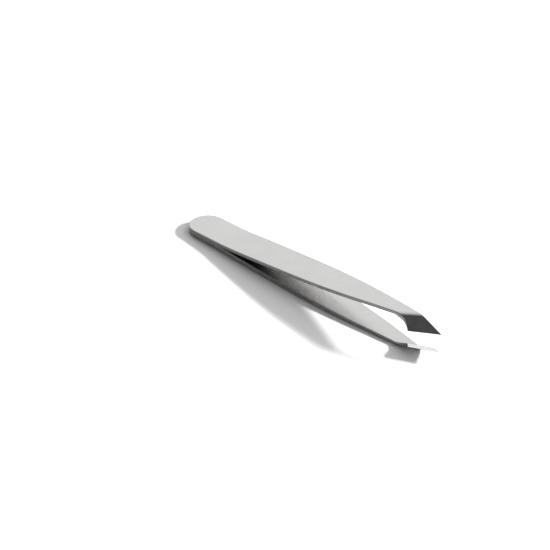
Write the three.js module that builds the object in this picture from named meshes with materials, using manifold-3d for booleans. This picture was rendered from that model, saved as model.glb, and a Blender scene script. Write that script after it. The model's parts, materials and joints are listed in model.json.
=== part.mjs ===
// Slant tweezers, in millimetres.
// Two spring arms are blanked from steel strip, bent alike and spot welded back to back at the heel.
// Each arm ends in a claw: the strip folds inward along a slanted crease, and the inner side of its
// end is ground flat, so that the two slanted tips meet along their whole edge when squeezed.
//
// The arms are mirror images about the mid plane. The upper one is made in the frame of the pair,
// with +X from heel to tips, +Y across the arms and +Z away from the mid plane, and the lower one is
// its mirror image in Z. The pair is then tilted so that it lies on the floor at z = 0, on the rim of
// its heel and the outside of its lower crease, and centred on the origin.
//
// A real arm is one strip, and it flexes most where it leaves the weld. It is cut there into a heel
// plate and a blade, which turns about the middle of the strip.

import * as THREE from 'three';
import { mergeVertices } from 'three/addons/utils/BufferGeometryUtils.js';
import Module from 'manifold-3d';

// Driving dimensions.
const LENGTH = 95;                // from the heel to the far tip corner
const STRIP = 1.0;                // thickness of the strip
const HEEL_ROUND = 5.4;           // length of the rounded heel end
const HEEL_WIDTH = 10.2;
const GREATEST_WIDTH = 10.5;
const GREATEST_WIDTH_X = 27;
const WAIST_X = 82;               // narrowest place, just before the claw

const WELDED_LENGTH = 14;         // the plates lie together up to here
const PLATE_GAP = 0.02;           // left between the welded plates
const SPREAD_DEG = 3.8;           // each arm leaves the mid plane by this angle
const SPREAD_RADIUS = 90;         // of the gentle bend that spreads the arm, at its inner face

const FLEX_LENGTH = 2;            // straight strip between the spreading bend and the flexing place
const FLEX_GAP = 0.3;             // cut out of the arm there

const CREASE_X = 85.5;            // where the crease crosses the arm's middle line
const SLANT_DEG = 30;             // angle of the crease to the arm's length
const CLAW_FOLD_DEG = 39.5;       // how far the claw folds inward
const CLAW_RADIUS = 1.3;          // of the fold, at the strip's inner face
const CLAW_DRAWN_LENGTH = 20;     // of the folded strip, before its end is ground off

const CLOSING_DEG = 2.1;          // each arm's travel until the tips meet
const TIP_CLEARANCE = 0.03;       // left between each ground tip and the mid plane when closed

const WELD_RADIUS = 1.6;
const WELD_HEIGHT = 0.8;
const WELD_PLAY = 0.02;           // between a weld nugget and its pocket
const WELDS = { spot_weld_rear: 4.6, spot_weld_front: 10.4 };

const REACH = 100;                // sweeps and cutting blocks run this far

const spread = THREE.MathUtils.degToRad(SPREAD_DEG);
const slant = THREE.MathUtils.degToRad(SLANT_DEG);
const fold = THREE.MathUtils.degToRad(CLAW_FOLD_DEG);
const closing = THREE.MathUtils.degToRad(CLOSING_DEG);

const wasm = await Module();
wasm.setup();

// A closed three.js geometry becomes a solid, for cutting and joining.
function solidFrom(geometry) {
  const bare = geometry.clone();
  bare.deleteAttribute('normal');
  bare.deleteAttribute('uv');
  const merged = mergeVertices(bare, 1e-5);
  return new wasm.Manifold(new wasm.Mesh({
    numProp: 3,
    vertProperties: new Float32Array(merged.attributes.position.array),
    triVerts: new Uint32Array(merged.index.array),
  }));
}

// A solid becomes a three.js geometry, mirrored in the mid plane if asked.
function geometryFrom(solid, mirrored = false) {
  const { vertProperties, triVerts } = solid.getMesh();
  const geometry = new THREE.BufferGeometry();
  geometry.setAttribute('position', new THREE.BufferAttribute(new Float32Array(vertProperties), 3));
  geometry.setIndex(new THREE.BufferAttribute(new Uint32Array(triVerts), 1));
  if (mirrored) {
    geometry.scale(1, 1, -1);
    geometry.setIndex(Array.from(triVerts).reverse());
  }
  geometry.computeVertexNormals();
  return geometry;
}

// A side view drawn in X and Z, swept along Y by REACH to both sides.
function sweep(sideView, arcSteps) {
  const settings = { depth: 2 * REACH, bevelEnabled: false, curveSegments: arcSteps };
  const geometry = new THREE.ExtrudeGeometry(sideView, settings);
  geometry.rotateX(Math.PI / 2);
  geometry.translate(0, REACH, 0);
  return geometry;
}

// A block from the origin along +X and to both sides in Y, between two heights, turned up about Y and
// moved to a place in the side view.
function cuttingBlock(low, high, turn, place) {
  const block = new THREE.BoxGeometry(REACH, REACH, high - low);
  block.translate(REACH / 2, 0, (low + high) / 2);
  block.rotateY(-turn);
  block.translate(place.x, 0, place.y);
  return solidFrom(block);
}

// The blank seen from above, as a tall block: a round heel, gently bowed sides that taper towards
// the claw, and a near side that flares out again to the corner of the slanted tip.
function blankBlock() {
  const heelHalf = HEEL_WIDTH / 2;
  const widestHalf = GREATEST_WIDTH / 2;
  const taper = [[GREATEST_WIDTH_X, widestHalf], [50, 4.94], [63, 4.12], [74, 2.95]];
  const nearSide = [[14, heelHalf], ...taper, [WAIST_X, 2.2], [85, 2.5], [87, 4], [88.5, 5.6]];
  const farSide = [[HEEL_ROUND, heelHalf], [14, heelHalf], ...taper, [WAIST_X, 1.85], [86, 1.2],
    [90.5, 0.83], [LENGTH, 0.53], [LENGTH + 5, 0.25]];
  const nearPoints = nearSide.map(([x, half]) => new THREE.Vector2(x, -half));
  const [farEnd, ...farPoints] = farSide.map(([x, half]) => new THREE.Vector2(x, half)).reverse();
  const outline = new THREE.Shape();
  outline.moveTo(HEEL_ROUND, heelHalf);
  outline.absellipse(HEEL_ROUND, 0, HEEL_ROUND, heelHalf, Math.PI / 2, 3 * Math.PI / 2, false);
  outline.splineThru(nearPoints);
  outline.lineTo(farEnd.x, nearPoints.at(-1).y);
  outline.lineTo(farEnd.x, farEnd.y);
  outline.splineThru(farPoints);
  const settings = { depth: REACH, bevelEnabled: false, curveSegments: 8 };
  const block = new THREE.ExtrudeGeometry(outline, settings);
  block.translate(0, 0, -REACH / 2);
  return solidFrom(block);
}

// Places in the side view of the upper arm, as X and Z. The spreading bend leaves the weld away from
// the mid plane, about a centre above it.
const plateFace = PLATE_GAP / 2;
const bendCentre = new THREE.Vector2(WELDED_LENGTH, plateFace + SPREAD_RADIUS);
const armDirection = new THREE.Vector2(Math.cos(spread), Math.sin(spread));
const armNormal = new THREE.Vector2(-Math.sin(spread), Math.cos(spread));
const bendEnd = bendCentre.clone().addScaledVector(armNormal, -SPREAD_RADIUS);
const flexPoint = bendEnd.clone()
  .addScaledVector(armDirection, FLEX_LENGTH)
  .addScaledVector(armNormal, STRIP / 2);

// The strip at the heel: flat along the weld, then bent away from the mid plane and straight on.
function heelBand() {
  const weldedAngle = -Math.PI / 2;
  const spreadAngle = weldedAngle + spread;
  const innerEnd = bendEnd.clone().addScaledVector(armDirection, 2 * FLEX_LENGTH);
  const outerEnd = innerEnd.clone().addScaledVector(armNormal, STRIP);
  const view = new THREE.Shape();
  view.moveTo(-STRIP, plateFace + STRIP);
  view.lineTo(-STRIP, plateFace);
  view.lineTo(bendCentre.x, plateFace);
  view.absarc(bendCentre.x, bendCentre.y, SPREAD_RADIUS, weldedAngle, spreadAngle, false);
  view.lineTo(innerEnd.x, innerEnd.y);
  view.lineTo(outerEnd.x, outerEnd.y);
  view.absarc(bendCentre.x, bendCentre.y, SPREAD_RADIUS - STRIP, spreadAngle, weldedAngle, true);
  return solidFrom(sweep(view, 8));
}

// The strip of the blade: flat up to the crease, then folded towards the mid plane. It is drawn
// square to the crease, with x = 0 where the flat and the folded outer face would meet, then turned
// to the slant and laid along the arm.
function bladeBand() {
  const outerRadius = CLAW_RADIUS + STRIP;
  const foldStart = -outerRadius * Math.tan(fold / 2);
  const foldCentre = new THREE.Vector2(foldStart, STRIP / 2 - outerRadius);
  const flatAngle = Math.PI / 2;
  const clawAngle = flatAngle - fold;
  const clawNormal = new THREE.Vector2(Math.cos(clawAngle), Math.sin(clawAngle));
  const clawDirection = new THREE.Vector2(clawNormal.y, -clawNormal.x);
  const clawEnd = foldCentre.clone().addScaledVector(clawDirection, CLAW_DRAWN_LENGTH);
  const innerEnd = clawEnd.clone().addScaledVector(clawNormal, CLAW_RADIUS);
  const outerEnd = clawEnd.clone().addScaledVector(clawNormal, outerRadius);
  const view = new THREE.Shape();
  view.moveTo(-REACH, STRIP / 2);
  view.lineTo(-REACH, -STRIP / 2);
  view.lineTo(foldStart, -STRIP / 2);
  view.absarc(foldCentre.x, foldCentre.y, CLAW_RADIUS, flatAngle, clawAngle, true);
  view.lineTo(innerEnd.x, innerEnd.y);
  view.lineTo(outerEnd.x, outerEnd.y);
  view.absarc(foldCentre.x, foldCentre.y, outerRadius, clawAngle, flatAngle, false);
  const band = sweep(view, 16);
  band.rotateZ(slant - Math.PI / 2);
  band.translate((CREASE_X - flexPoint.x) / armDirection.x, 0, 0);
  band.rotateY(-spread);
  band.translate(flexPoint.x, 0, flexPoint.y);
  return solidFrom(band);
}

// A weld nugget is a shallow lens in the joint between the plates.
function weldLens(x, play = 0) {
  const profile = new THREE.Path();
  const halfHeight = WELD_HEIGHT / 2 + play;
  profile.moveTo(0, -halfHeight);
  profile.absellipse(0, 0, WELD_RADIUS + play, halfHeight, -Math.PI / 2, Math.PI / 2, false);
  const lens = new THREE.LatheGeometry(profile.getPoints(8), 32);
  lens.rotateX(Math.PI / 2);
  lens.translate(x, 0, 0);
  return solidFrom(lens);
}

// The heel plate ends at the flexing place, and has a pocket for its half of each weld.
function heelPlate(blank) {
  const cut = flexPoint.clone().addScaledVector(armDirection, -FLEX_GAP / 2);
  let plate = heelBand().intersect(blank).subtract(cuttingBlock(-REACH, REACH, spread, cut));
  for (const x of Object.values(WELDS)) {
    plate = plate.subtract(weldLens(x, WELD_PLAY));
  }
  return plate;
}

// The blade starts past the flexing place. Its tip is ground flat along what is the mid plane when
// the arm has closed.
function blade(blank) {
  const cut = flexPoint.clone().addScaledVector(armDirection, FLEX_GAP / 2);
  const strip = bladeBand().intersect(blank).intersect(cuttingBlock(-REACH, REACH, spread, cut));
  const ground = cuttingBlock(TIP_CLEARANCE - flexPoint.y, REACH, closing, flexPoint);
  return strip.intersect(ground);
}

const blank = blankBlock();
const plateSolid = heelPlate(blank);
const bladeSolid = blade(blank);
const satinSteel = { color: 0xc8c6c5, roughness: 0.42, metalness: 1 };
const weldSteel = { color: 0x9a9896, roughness: 0.6, metalness: 1 };

// The pair, tilted until its heel and its lower blade are both on the floor.
const pair = new THREE.Group();

function addPart(name, geometry, finish) {
  const part = new THREE.Mesh(geometry, new THREE.MeshStandardMaterial(finish));
  part.name = name;
  pair.add(part);
}

addPart('upper_arm_heel', geometryFrom(plateSolid), satinSteel);
addPart('lower_arm_heel', geometryFrom(plateSolid, true), satinSteel);
addPart('upper_arm_blade', geometryFrom(bladeSolid), satinSteel);
addPart('lower_arm_blade', geometryFrom(bladeSolid, true), satinSteel);
for (const [name, x] of Object.entries(WELDS)) {
  addPart(name, geometryFrom(weldLens(x)), weldSteel);
}

// The steepest line from the bottom of the heel down to the lower blade is the floor.
function restingTilt() {
  const heelBottom = -plateFace - STRIP;
  const { array } = pair.getObjectByName('lower_arm_blade').geometry.attributes.position;
  let tilt = 0;
  for (let i = 0; i < array.length; i += 3) {
    tilt = Math.max(tilt, Math.atan2(heelBottom - array[i + 2], array[i]));
  }
  return tilt;
}

pair.rotation.y = -restingTilt();
const box = new THREE.Box3().setFromObject(pair, true);
pair.position.set(-(box.min.x + box.max.x) / 2, -(box.min.y + box.max.y) / 2, -box.min.z);

const tweezers = new THREE.Group();
tweezers.add(pair);

export default tweezers;
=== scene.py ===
# Slant tweezers: two arms of satin steel strip, spot welded at the heel, with ground slanted tips.
import json
from math import atan2, cos, radians, sin, sqrt, tan

import bmesh
import bpy
import numpy as np
from mathutils import Matrix, Vector


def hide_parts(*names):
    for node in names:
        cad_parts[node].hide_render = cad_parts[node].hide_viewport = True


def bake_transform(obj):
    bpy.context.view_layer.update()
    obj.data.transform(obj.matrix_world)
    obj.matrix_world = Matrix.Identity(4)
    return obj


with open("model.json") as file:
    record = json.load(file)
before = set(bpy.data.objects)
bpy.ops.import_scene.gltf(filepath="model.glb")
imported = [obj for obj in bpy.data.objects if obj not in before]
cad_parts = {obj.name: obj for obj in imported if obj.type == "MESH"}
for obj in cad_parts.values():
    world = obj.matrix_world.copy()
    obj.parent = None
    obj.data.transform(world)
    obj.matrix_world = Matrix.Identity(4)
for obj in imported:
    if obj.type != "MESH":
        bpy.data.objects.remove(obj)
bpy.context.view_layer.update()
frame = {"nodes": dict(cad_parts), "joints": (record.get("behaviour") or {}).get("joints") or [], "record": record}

MM = 0.001

# ---------------------------------------------------------------------------------- the camera

CAMERA_AZIMUTH = radians(46.3)
CAMERA_ELEVATION = radians(33.3)
CAMERA_DISTANCE = 0.559
CAMERA_LENS = 134.3
ASIDE = -0.0099          # the picture's middle lies left of the tweezers' middle
ABOVE = 0.0042           # and a little above it


def make_camera():
    back = Vector((
        sin(CAMERA_AZIMUTH) * cos(CAMERA_ELEVATION),
        -cos(CAMERA_AZIMUTH) * cos(CAMERA_ELEVATION),
        sin(CAMERA_ELEVATION),
    ))
    right = Vector((cos(CAMERA_AZIMUTH), sin(CAMERA_AZIMUTH), 0))
    up = back.cross(right)
    lens = bpy.data.cameras.new("camera")
    lens.lens = CAMERA_LENS
    lens.clip_start = 0.01
    camera = bpy.data.objects.new("camera", lens)
    camera.location = back * CAMERA_DISTANCE + right * ASIDE + up * ABOVE
    camera.rotation_euler = back.to_track_quat("Z", "Y").to_euler()
    bpy.context.scene.collection.objects.link(camera)
    bpy.context.scene.camera = camera


make_camera()

# ------------------------------------------------------------------ dimensions, in millimetres

LENGTH = 95
STRIP = 1.0              # thickness of the strip
HEEL_ROUND = 5.4         # length of the rounded heel end
HEEL_HALF = 5.1          # half the width there
PLATE_FACE = 0.01        # the welded plates' inner faces, from the mid plane

WELDED_LENGTH = 14
SPREAD = radians(3.8)    # each arm leaves the mid plane by this angle
SPREAD_RADIUS = 90       # of the gentle bend that spreads it, at its inner face
FLEX_LENGTH = 2          # from the end of that bend to the joint

CREASE_X = 85.5          # where the crease crosses the arm's middle line
SLANT = radians(30)      # angle of the crease to the arm's length
FOLD = radians(39.5)     # how far the claw folds inward
CLAW_RADIUS = 1.3        # of the fold, at the strip's inner face
CLAW_DRAWN_LENGTH = 20   # the claw's faces meet the ground land within this length

CLOSING = radians(2.1)   # each arm's travel until the tips meet
TIP_CLEARANCE = 0.03     # between each ground tip and the mid plane when closed

# Half the width of the blank at places along it. The near side flares to the corner of the tip.
TAPER = [(HEEL_ROUND, HEEL_HALF), (14, HEEL_HALF), (27, 5.25), (50, 4.94), (63, 4.12), (74, 2.95)]
NEAR_SIDE = TAPER + [(82, 2.2), (85, 2.5), (87, 4), (88.5, 5.6)]
FAR_SIDE = TAPER + [(82, 1.85), (86, 1.2), (90.5, 0.83), (LENGTH, 0.53), (100, 0.25)]

# How the arm's mesh is divided.
COLUMNS = 20             # across the arm
HEEL_ROWS = 9            # from the rim of the heel to the first straight row
EVEN_FROM = 0.4          # part of the way over those rows
FIRST_STRAIGHT_X = 12.5
ARM_ROWS = 56
SKEW_FROM_X = 50         # from here on the rows turn towards the crease
FOLD_ROWS = 12
CLAW_ROWS = 7            # from the fold to the ground land
LAND_ROWS = 4
EDGE_RADIUS = 0.12       # of the rounded edges of the strip
EDGE_STEPS = 3
TIP_EDGE = 0.10          # width of the blunt edge at the tip

OFFSET_PASSES = 8        # rounds that bring the height of a face to rest
HALVINGS = 40            # of a length, in finding where two faces meet

# --------------------------------------------------------------------- the strip as a surface

BEND_CENTRE_Z = PLATE_FACE + SPREAD_RADIUS
BEND_END_X = WELDED_LENGTH + SPREAD_RADIUS * sin(SPREAD)
BEND_END_Z = BEND_CENTRE_Z - SPREAD_RADIUS * cos(SPREAD)
FLEX_X = BEND_END_X + FLEX_LENGTH * cos(SPREAD) - STRIP / 2 * sin(SPREAD)
FLEX_Z = BEND_END_Z + FLEX_LENGTH * sin(SPREAD) + STRIP / 2 * cos(SPREAD)
FOLD_START = -(CLAW_RADIUS + STRIP) * tan(FOLD / 2)
FOLD_CENTRE = STRIP / 2 - (CLAW_RADIUS + STRIP)


def past_crease(along, y):
    """Distance past the crease of a place on the blade, square to the crease."""
    return (along - (CREASE_X - FLEX_X) / cos(SPREAD)) * sin(SLANT) - y * cos(SLANT)


def strip_offset(past, outside):
    """How far a face of the strip lies from the middle of the unfolded strip."""
    radius = CLAW_RADIUS + (STRIP if outside else 0)
    into_fold = past - FOLD_START
    fold_length = radius * sin(FOLD)
    if into_fold <= 0:
        return FOLD_CENTRE + radius
    if into_fold < fold_length:
        return FOLD_CENTRE + sqrt(radius**2 - into_fold**2)
    return FOLD_CENTRE + radius * cos(FOLD) - (into_fold - fold_length) * tan(FOLD)


def strip_height(x, y, outside):
    """Height of a face of the upper arm above the mid plane."""
    radius = SPREAD_RADIUS - (STRIP if outside else 0)
    into_bend = x - WELDED_LENGTH
    if into_bend <= 0:
        return BEND_CENTRE_Z - radius
    if into_bend < radius * sin(SPREAD):
        return BEND_CENTRE_Z - sqrt(radius**2 - into_bend**2)
    offset = 0
    for _ in range(OFFSET_PASSES):
        along = (x - FLEX_X + offset * sin(SPREAD)) / cos(SPREAD)
        offset = strip_offset(past_crease(along, y), outside)
    return FLEX_Z + along * sin(SPREAD) + offset * cos(SPREAD)


def ground_height(x):
    """Height of the ground land, which lies along the mid plane when the arm has closed."""
    below_flex = FLEX_Z - TIP_CLEARANCE
    start_x = FLEX_X + below_flex * sin(CLOSING)
    start_z = FLEX_Z - below_flex * cos(CLOSING)
    return start_z + (x - start_x) * tan(CLOSING)


def face_height(x, y, outside):
    """Height of the outer face, or of the inner face with its ground land."""
    height = strip_height(x, y, outside)
    return height if outside else max(height, ground_height(x))


# -------------------------------------------------------------------------- the arm in plan


def smooth_side(points, steps=24):
    """A dense line through the points of one side, as a Catmull-Rom curve."""
    padded = np.array([points[0]] + points + [points[-1]], float)
    line = []
    for before, start, end, after in zip(padded, padded[1:], padded[2:], padded[3:]):
        for step in range(steps):
            t = step / steps
            leave, arrive = (end - before) / 2, (after - start) / 2
            line.append(
                (2 * t**3 - 3 * t**2 + 1) * start + (t**3 - 2 * t**2 + t) * leave
                + (3 * t**2 - 2 * t**3) * end + (t**3 - t**2) * arrive
            )
    return np.array(line + [padded[-1]])


SIDES = {-1: smooth_side(NEAR_SIDE), 1: smooth_side(FAR_SIDE)}


def side_point(middle_x, skew, side):
    """Where a row that crosses the middle line at middle_x meets a side. Skew is its dx / dy."""
    xs, halves = SIDES[side].T
    x = np.interp(middle_x, xs - skew * side * halves, xs)
    return Vector((x, side * np.interp(x, xs, halves)))


def straight_row(middle_x, skew):
    near, far = side_point(middle_x, skew, -1), side_point(middle_x, skew, 1)
    return [near.lerp(far, column / COLUMNS) for column in range(COLUMNS + 1)]


def heel_row(part):
    """A row that is the round rim of the heel at part 0, and straight at part 1.

    Its places are evenly spaced across from EVEN_FROM on.
    """
    side_x = HEEL_ROUND + (FIRST_STRAIGHT_X - HEEL_ROUND) * part
    bulge = HEEL_ROUND * (1 - part)
    evened = min(1, part / EVEN_FROM)
    row = []
    for column in range(COLUMNS + 1):
        across = 2 * column / COLUMNS - 1
        turn = radians(90) * across
        x = side_x - bulge * cos(turn)
        half = side_point(side_x, 0, 1).y
        row.append(Vector((x, half * (sin(turn) * (1 - evened) + across * evened))))
    return row


def meeting_line(outside):
    """The straight line in plan where a face of the claw meets the ground land: middle and skew."""
    def meeting_x(y):
        low, high = CREASE_X, CREASE_X + CLAW_DRAWN_LENGTH
        for _ in range(HALVINGS):
            middle = (low + high) / 2
            if strip_height(middle, y, outside) > ground_height(middle):
                low = middle
            else:
                high = middle
        return low
    return meeting_x(0), (meeting_x(0.5) - meeting_x(-0.5))


def between(start, end, count):
    """Lines in plan from start to end, without start."""
    return [
        tuple(a + (b - a) * step / count for a, b in zip(start, end))
        for step in range(1, count + 1)
    ]


def fold_line(outside, part):
    """A line in plan along the fold of a face, from its start at part 0 to its end at part 1."""
    radius = CLAW_RADIUS + (STRIP if outside else 0)
    past = FOLD_START + radius * sin(FOLD * part)
    along = (CREASE_X - FLEX_X) / cos(SPREAD) + past / sin(SLANT)
    x = FLEX_X + along * cos(SPREAD) - strip_offset(past, outside) * sin(SPREAD)
    return x, cos(SPREAD) / tan(SLANT)


def arm_lines(outside):
    """The straight rows of one face, as middle and skew, from the heel to the tip."""
    fold_x, fold_skew = fold_line(outside, 0)
    lines = []
    for step in range(1, ARM_ROWS + 1):
        x = FIRST_STRAIGHT_X + (fold_x - FIRST_STRAIGHT_X) * step / ARM_ROWS
        t = max(0, (x - SKEW_FROM_X) / (fold_x - SKEW_FROM_X))
        lines.append((x, fold_skew * t * t * (3 - 2 * t)))
    lines += [fold_line(outside, step / FOLD_ROWS) for step in range(1, FOLD_ROWS + 1)]
    tip = meeting_line(True)
    if outside:
        return lines + between(lines[-1], tip, CLAW_ROWS + LAND_ROWS)
    land = meeting_line(False)
    return lines + between(lines[-1], land, CLAW_ROWS) + between(land, tip, LAND_ROWS)


def face_plan(outside):
    """A grid of places in plan, in rows from the heel to the tip, each from near side to far."""
    rows = [heel_row(step / HEEL_ROWS) for step in range(HEEL_ROWS + 1)]
    return rows + [straight_row(*line) for line in arm_lines(outside)]


# ----------------------------------------------------------------------------- the arm's mesh

FACE, EDGE, LAND = range(3)          # an arm's materials, in the order of its slots


def rim_of(rows):
    """The rim of a grid: heel, far side, tip, near side."""
    far_side = [row[-1] for row in rows[1:-1]]
    near_side = [row[0] for row in rows[1:-1]]
    return rows[0] + far_side + rows[-1][::-1] + near_side[::-1]


def with_rim(inner_rows, rim):
    """The grid that has these rows inside it, and this rim around it."""
    width, length = len(inner_rows[0]) + 2, len(inner_rows)
    heel = rim[:width]
    far_side = rim[width:width + length]
    tip = rim[width + length:2 * width + length][::-1]
    near_side = rim[2 * width + length:][::-1]
    middle = [[near, *row, far] for near, row, far in zip(near_side, inner_rows, far_side)]
    return [heel, *middle, tip]


def inward(rim):
    """For each place of a rim, the move that takes both its edges in by one."""
    moves = []
    for before, here, after in zip(rim[-1:] + rim[:-1], rim, rim[1:] + rim[:1]):
        arriving, leaving = (here - before).normalized(), (after - here).normalized()
        normals = [Vector((edge.y, -edge.x)) for edge in (arriving, leaving)]
        moves.append((normals[0] + normals[1]) / (1 + normals[0].dot(normals[1])))
    return moves


def rounded_edge(made, rim, thicknesses, outside):
    """Loops of vertices from the rim of a face, round the edge of the strip, to its side wall."""
    loops = []
    for step in range(EDGE_STEPS + 1):
        turn = radians(90) * step / EDGE_STEPS
        loop = []
        for place, move, thickness in zip(rim, inward(rim), thicknesses):
            radius = min(EDGE_RADIUS, (thickness + TIP_EDGE) / 2)
            blunt = max(0, TIP_EDGE - thickness) if outside else 0
            spot = place + move * (blunt + radius * (1 - sin(turn)))
            drop = min(radius, thickness / 2) * (1 - cos(turn))
            height = face_height(*spot, outside) + (-drop if outside else drop)
            loop.append(made.verts.new((*spot, height)))
        loops.append(loop)
    return loops


def add_band(made, loop, following, material):
    """A band of faces between two closed loops."""
    corners = zip(loop, loop[1:] + loop[:1], following[1:] + following[:1], following)
    for quad in corners:
        made.faces.new(quad).material_index = material


def upper_arm():
    """The upper arm in the frame of the pair, in millimetres."""
    made = bmesh.new()
    plans = {outside: face_plan(outside) for outside in (True, False)}
    rims = {outside: rim_of(plan) for outside, plan in plans.items()}
    thicknesses = [
        face_height(*outer, True) - face_height(*inner, False)
        for outer, inner in zip(rims[True], rims[False])
    ]
    edges = {}
    for outside, plan in plans.items():
        edges[outside] = rounded_edge(made, rims[outside], thicknesses, outside)
        for loop, following in zip(edges[outside], edges[outside][1:]):
            add_band(made, loop, following, EDGE)
        inner_rows = [
            [made.verts.new((*place, face_height(*place, outside))) for place in row[1:-1]]
            for row in plan[1:-1]
        ]
        grid = with_rim(inner_rows, edges[outside][0])
        for index, (row, following) in enumerate(zip(grid, grid[1:])):
            on_land = not outside and index >= len(grid) - 1 - LAND_ROWS
            for quad in zip(row, row[1:], following[1:], following):
                made.faces.new(quad).material_index = LAND if on_land else FACE
    add_band(made, edges[True][-1], edges[False][-1], EDGE)
    return made


def pair_placement():
    """From the frame of the pair, in millimetres, to the frame of the CAD."""
    heel_axis = next(
        mount["axis"] for mount in frame["record"]["mounts"] if mount["name"] == "heel_face"
    )
    tilt = Matrix.Rotation(-atan2(-heel_axis[0], heel_axis[2]), 4, "Y")
    pivots = [Vector(joint["pos_m"]) for joint in frame["joints"]]
    on_mid_plane = (pivots[0] + pivots[1]) / 2
    place = on_mid_plane - tilt @ Vector((FLEX_X * MM, 0, 0))
    return Matrix.Translation(place) @ tilt @ Matrix.Scale(MM, 4)


def add_arm(name, mirrored, materials):
    made = upper_arm()
    mirror = Matrix.Scale(-1 if mirrored else 1, 4, (0, 0, 1))
    placement = pair_placement()
    bmesh.ops.transform(made, matrix=placement @ mirror, verts=made.verts)
    bmesh.ops.recalc_face_normals(made, faces=made.faces)
    mesh = bpy.data.meshes.new(f"{name}_steel")
    made.to_mesh(mesh)
    made.free()
    mesh.shade_smooth()
    for material in materials:
        mesh.materials.append(material)
    arm = bpy.data.objects.new(f"{name}_steel", mesh)
    bpy.context.scene.collection.objects.link(arm)
    normals = arm.modifiers.new("even_faces", "WEIGHTED_NORMAL")
    normals.keep_sharp = True
    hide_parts(f"{name}_heel", f"{name}_blade")
    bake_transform(arm)


# ------------------------------------------------------------------------------- materials


NOISE_START = (31.7, 47.3, 58.9)     # in grains; all octaves line up where noise starts from zero


class Nodes:
    """A material's nodes, made and joined in short calls."""

    def __init__(self, name):
        self.material = bpy.data.materials.new(name)
        self.material.use_nodes = True
        self.tree = self.material.node_tree
        self.shader = self.tree.nodes["Principled BSDF"]
        self.places = self.add("ShaderNodeTexCoord").outputs["Object"]

    def add(self, kind, **inputs):
        node = self.tree.nodes.new(kind)
        for name, value in inputs.items():
            self.feed(node.inputs[name.replace("_", " ")], value)
        return node

    def feed(self, socket, value):
        if isinstance(value, bpy.types.NodeSocket):
            self.tree.links.new(value, socket)
        else:
            socket.default_value = value

    def noise(self, size, detail=2.0, stretch=(1, 1, 1)):
        """Noise with grains of a size in metres, longer by the stretch along each axis."""
        scale = [1 / (size * longer) for longer in stretch]
        grid = self.add("ShaderNodeMapping", Vector=self.places, Location=NOISE_START, Scale=scale)
        texture = self.add("ShaderNodeTexNoise", Vector=grid.outputs[0], Scale=1.0, Detail=detail)
        return texture.outputs["Fac"]

    def spread(self, value, low, high, start=0.3, end=0.7):
        """A value from start to end, taken to low to high."""
        limits = {"From_Min": start, "From_Max": end, "To_Min": low, "To_Max": high}
        return self.add("ShaderNodeMapRange", Value=value, **limits).outputs[0]

    def combine(self, operation, first, second):
        node = self.tree.nodes.new("ShaderNodeMath")
        node.operation = operation
        self.feed(node.inputs[0], first)
        self.feed(node.inputs[1], second)
        return node.outputs[0]

    def shade(self, value, dark, light):
        ramp = self.tree.nodes.new("ShaderNodeMix")
        ramp.data_type = "RGBA"
        self.feed(ramp.inputs["Factor"], value)
        self.feed(ramp.inputs["A"], (*dark, 1))
        self.feed(ramp.inputs["B"], (*light, 1))
        return ramp.outputs["Result"]

    def bump(self, height, depth, strength=1.0, normal=None):
        node = self.add("ShaderNodeBump", Height=height, Distance=depth, Strength=strength)
        if normal is not None:
            self.feed(node.inputs["Normal"], normal)
        return node.outputs[0]


ALONG_THE_ARM = (14, 1, 1)           # how much longer the drawing lines are than they are wide
RUBBED_ALONG = (9, 1, 9)
ACROSS_THE_ARM = (1, 30, 1)


def satin_steel():
    """Blasted strip: fine grain, faint drawing lines along it, rubbed streaks and smudges."""
    nodes = Nodes("satin_steel")
    grain = nodes.noise(0.00016, detail=3)
    lines = nodes.noise(0.00026, detail=3, stretch=ALONG_THE_ARM)
    streaks = nodes.noise(0.0009, detail=1, stretch=RUBBED_ALONG)
    smudges = nodes.noise(0.008, detail=4)
    mottle = nodes.noise(0.0015, detail=3)
    rubbed = nodes.spread(streaks, 0, 1, start=0.70, end=0.74)
    tone = nodes.combine("ADD", nodes.spread(smudges, 0, 0.5), nodes.spread(mottle, 0, 0.3))
    tone = nodes.combine("ADD", tone, nodes.spread(lines, -0.1, 0.2))
    nodes.shader.inputs["Metallic"].default_value = 1
    nodes.feed(
        nodes.shader.inputs["Base Color"],
        nodes.shade(tone, (0.505, 0.501, 0.497), (0.560, 0.557, 0.554)),
    )
    roughness = nodes.spread(smudges, 0.17, 0.23)
    roughness = nodes.combine("ADD", roughness, nodes.spread(lines, 0, 0.06))
    roughness = nodes.combine("ADD", roughness, nodes.spread(rubbed, 0, 0.06, start=0, end=1))
    nodes.feed(nodes.shader.inputs["Roughness"], roughness)
    lined = nodes.bump(lines, 0.00001, 0.5)
    nodes.feed(nodes.shader.inputs["Normal"], nodes.bump(grain, 0.00001, 0.5, lined))
    return nodes.material


def cut_edge_steel_painted_shade():
    """The blanked and tumbled edge of the strip: lined along its length, worn at corners, and darkened below the
    strip's steel as painted shade for the side walls.
    """
    nodes = Nodes("cut_edge_steel_painted_shade")
    lines = nodes.noise(0.00009, detail=3, stretch=ALONG_THE_ARM)
    patches = nodes.noise(0.0014, detail=3)
    corners = nodes.add("ShaderNodeNewGeometry").outputs["Pointiness"]
    worn_corners = nodes.spread(corners, 0, 0.7, start=0.52, end=0.6)
    wear = nodes.combine("ADD", worn_corners, nodes.spread(patches, 0, 0.3))
    nodes.shader.inputs["Metallic"].default_value = 1
    nodes.feed(
        # Base colour: the corner and patch wear is real; both ends are set darker than the strip's steel, as
        # painted shade on the side walls.
        nodes.shader.inputs["Base Color"],
        nodes.shade(wear, (0.19, 0.188, 0.186), (0.37, 0.368, 0.366)),
    )
    nodes.feed(nodes.shader.inputs["Roughness"], nodes.spread(patches, 0.42, 0.30))
    nodes.feed(nodes.shader.inputs["Normal"], nodes.bump(lines, 0.000008, 0.8))
    return nodes.material


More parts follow.
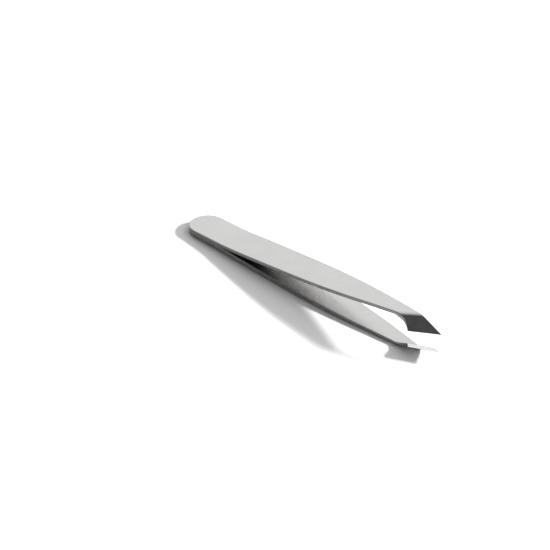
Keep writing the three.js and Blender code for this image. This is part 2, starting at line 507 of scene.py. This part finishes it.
def ground_steel_painted_sheen():
    """The ground land at the tip, with grinding lines across it, and brighter than the strip's steel: partly its
    ground finish, partly painted sheen.
    """
    nodes = Nodes("ground_steel_painted_sheen")
    lines = nodes.noise(0.00004, detail=3, stretch=ACROSS_THE_ARM)
    wear = nodes.noise(0.0012, detail=3)
    nodes.shader.inputs["Metallic"].default_value = 1
    # Base colour: brighter than the strip's steel, partly the ground finish and partly a painted sheen standing in
    # for the land's bright reflection.
    nodes.feed(
        nodes.shader.inputs["Base Color"],
        nodes.shade(nodes.spread(wear, 0, 1), (0.66, 0.657, 0.654), (0.72, 0.717, 0.714)),
    )
    nodes.feed(nodes.shader.inputs["Roughness"], nodes.spread(wear, 0.20, 0.30))
    nodes.feed(nodes.shader.inputs["Normal"], nodes.bump(lines, 0.000003, 0.6))
    return nodes.material


def weld_steel():
    """The spot welds: dull, heat-stained metal."""
    nodes = Nodes("weld_steel")
    blotches = nodes.noise(0.0006, detail=4)
    pits = nodes.noise(0.00008, detail=2)
    nodes.shader.inputs["Metallic"].default_value = 1
    nodes.feed(
        nodes.shader.inputs["Base Color"],
        nodes.shade(nodes.spread(blotches, 0, 1), (0.26, 0.25, 0.25), (0.42, 0.39, 0.35)),
    )
    nodes.feed(nodes.shader.inputs["Roughness"], nodes.spread(blotches, 0.5, 0.68))
    nodes.feed(nodes.shader.inputs["Normal"], nodes.bump(pits, 0.00001, 0.7))
    return nodes.material


def floor_paper():
    nodes = Nodes("floor_paper")
    tooth = nodes.noise(0.0004, detail=2)
    nodes.shader.inputs["Base Color"].default_value = (0.8, 0.8, 0.8, 1)
    nodes.shader.inputs["Specular IOR Level"].default_value = 0.1
    nodes.feed(nodes.shader.inputs["Roughness"], nodes.spread(tooth, 0.85, 0.95))
    return nodes.material


# ---------------------------------------------------------------------- the floor and light

# Sizes are in metres here, and the key light's power is in watts.
FLOOR_HALF = 6.0
KEY_AZIMUTH = radians(50)        # the key light stands to the camera's right, a little to the back
KEY_ELEVATION = radians(27)
KEY_DISTANCE = 1.6
KEY_WIDTH = 0.40
KEY_HEIGHT = 0.13
KEY_POWER = 64
WALLS, CEILING = 0.60, 0.07      # brightness of the dim room, low down and overhead
CEILING_FROM = radians(42)
# Large soft panels: azimuth and elevation of the middle, half width where it has faded out, and
# brightness at the middle.
BACK_PANEL = (radians(136), radians(45), radians(52), 1.12)
SIDE_PANEL = (radians(40), radians(38), radians(55), 1.3)


def direction(azimuth, elevation):
    flat = cos(elevation)
    return Vector((cos(azimuth) * flat, sin(azimuth) * flat, sin(elevation)))


def add_floor():
    corners = [(-1, -1), (1, -1), (1, 1), (-1, 1)]
    mesh = bpy.data.meshes.new("floor")
    mesh.from_pydata([(x * FLOOR_HALF, y * FLOOR_HALF, 0) for x, y in corners], [], [(0, 1, 2, 3)])
    mesh.materials.append(floor_paper())
    floor = bpy.data.objects.new("floor", mesh)
    bpy.context.scene.collection.objects.link(floor)


def add_key_light():
    towards = direction(KEY_AZIMUTH, KEY_ELEVATION)
    panel = bpy.data.lights.new("key", "AREA")
    panel.shape = "RECTANGLE"
    panel.size = KEY_WIDTH
    panel.size_y = KEY_HEIGHT
    panel.energy = KEY_POWER
    light = bpy.data.objects.new("key", panel)
    light.location = towards * KEY_DISTANCE
    light.rotation_euler = towards.to_track_quat("Z", "Y").to_euler()
    bpy.context.scene.collection.objects.link(light)


def ramp(tree, value, start, end, low, high):
    """A world value that goes from low to high as another goes from start to end."""
    node = tree.nodes.new("ShaderNodeMapRange")
    limits = {"From Min": start, "From Max": end, "To Min": low, "To Max": high}
    for name, limit in limits.items():
        node.inputs[name].default_value = limit
    tree.links.new(value, node.inputs["Value"])
    return node.outputs[0]


def add_studio():
    world = bpy.data.worlds.new("studio")
    bpy.context.scene.world = world
    world.use_nodes = True
    tree = world.node_tree
    directions = tree.nodes.new("ShaderNodeTexCoord").outputs["Generated"]
    split = tree.nodes.new("ShaderNodeSeparateXYZ")
    tree.links.new(directions, split.inputs[0])
    light = ramp(tree, split.outputs["Z"], 0, sin(CEILING_FROM), WALLS, CEILING)
    for azimuth, elevation, edge, brightness in (BACK_PANEL, SIDE_PANEL):
        facing = tree.nodes.new("ShaderNodeVectorMath")
        facing.operation = "DOT_PRODUCT"
        facing.inputs[1].default_value = direction(azimuth, elevation)
        tree.links.new(directions, facing.inputs[0])
        total = tree.nodes.new("ShaderNodeMath")
        total.operation = "ADD"
        tree.links.new(light, total.inputs[0])
        panel = ramp(tree, facing.outputs["Value"], cos(edge), 1, 0, brightness)
        tree.links.new(panel, total.inputs[1])
        light = total.outputs[0]
    tree.links.new(light, tree.nodes["Background"].inputs["Strength"])
    tree.nodes["Background"].inputs["Color"].default_value = (1, 1, 1, 1)


# ----------------------------------------------------------------------------- the tweezers

arm_materials = [satin_steel(), cut_edge_steel_painted_shade(), ground_steel_painted_sheen()]
add_arm("upper_arm", False, arm_materials)
add_arm("lower_arm", True, arm_materials)
weld = weld_steel()
for node in ("spot_weld_rear", "spot_weld_front"):
    frame["nodes"][node].data.materials.clear()
    frame["nodes"][node].data.materials.append(weld)

add_floor()
add_key_light()
add_studio()
bpy.context.scene.view_settings.view_transform = "Standard"
